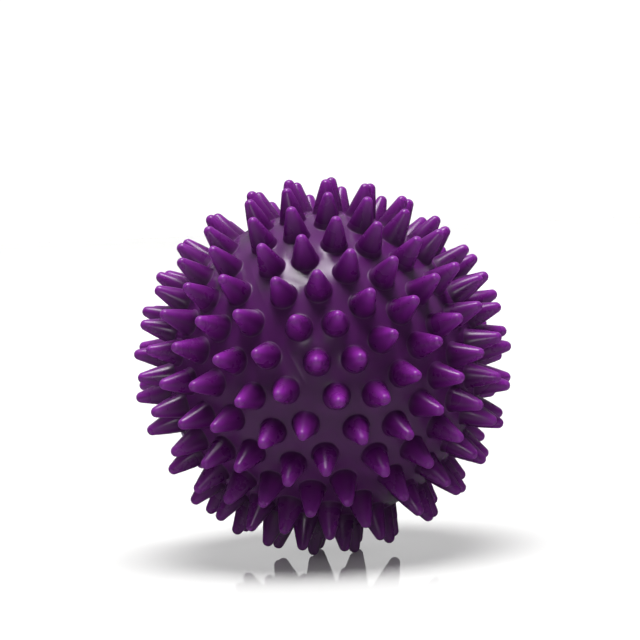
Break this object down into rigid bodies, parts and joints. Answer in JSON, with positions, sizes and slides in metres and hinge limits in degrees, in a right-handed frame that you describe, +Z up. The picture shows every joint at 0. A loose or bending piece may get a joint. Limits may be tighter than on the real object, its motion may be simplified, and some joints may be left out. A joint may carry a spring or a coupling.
{
  "type": "massage ball",
  "caption": "Hollow soft ball with rows of solid blunt spikes all over, resting on three spike tips, with a needle valve and a plug that pulls out at one pole.",
  "frame": {"origin": "the ball's centre", "axes": "+Z up, with the ball at rest on three neighbouring spike tips; -Y faces the viewer; the moulding's pole axis leans from the valve at the lower left (-X) up to the pole spike at the right (+X)"},
  "size_m": [0.0894, 0.0897, 0.0892],
  "materials": {
    "ball_pvc": "gloss",
    "valve_rubber": "satin",
    "plug_rubber": "satin"
  },
  "bodies": {
    "ball": {"skin_wall": "ball_pvc", "spike_row_a1": "ball_pvc", "spike_row_a2": "ball_pvc", "spike_row_a3": "ball_pvc", "spike_row_a4": "ball_pvc", "spike_row_a5": "ball_pvc", "spike_row_a6": "ball_pvc", "spike_row_a7": "ball_pvc", "spike_pole_a": "ball_pvc", "spike_row_b1": "ball_pvc", "spike_row_b2": "ball_pvc", "spike_row_b3": "ball_pvc", "spike_row_b4": "ball_pvc", "spike_row_b5": "ball_pvc", "spike_row_b6": "ball_pvc", "valve_body": "valve_rubber"},
    "plug": {"valve_plug": "plug_rubber"}
  },
  "joints": [
    {"name": "plug_pull", "type": "slide", "parent": "ball", "child": "plug", "axis": [-0.8846, 0.1118, -0.4527], "range_m": [0, 0.016]}
  ]
}
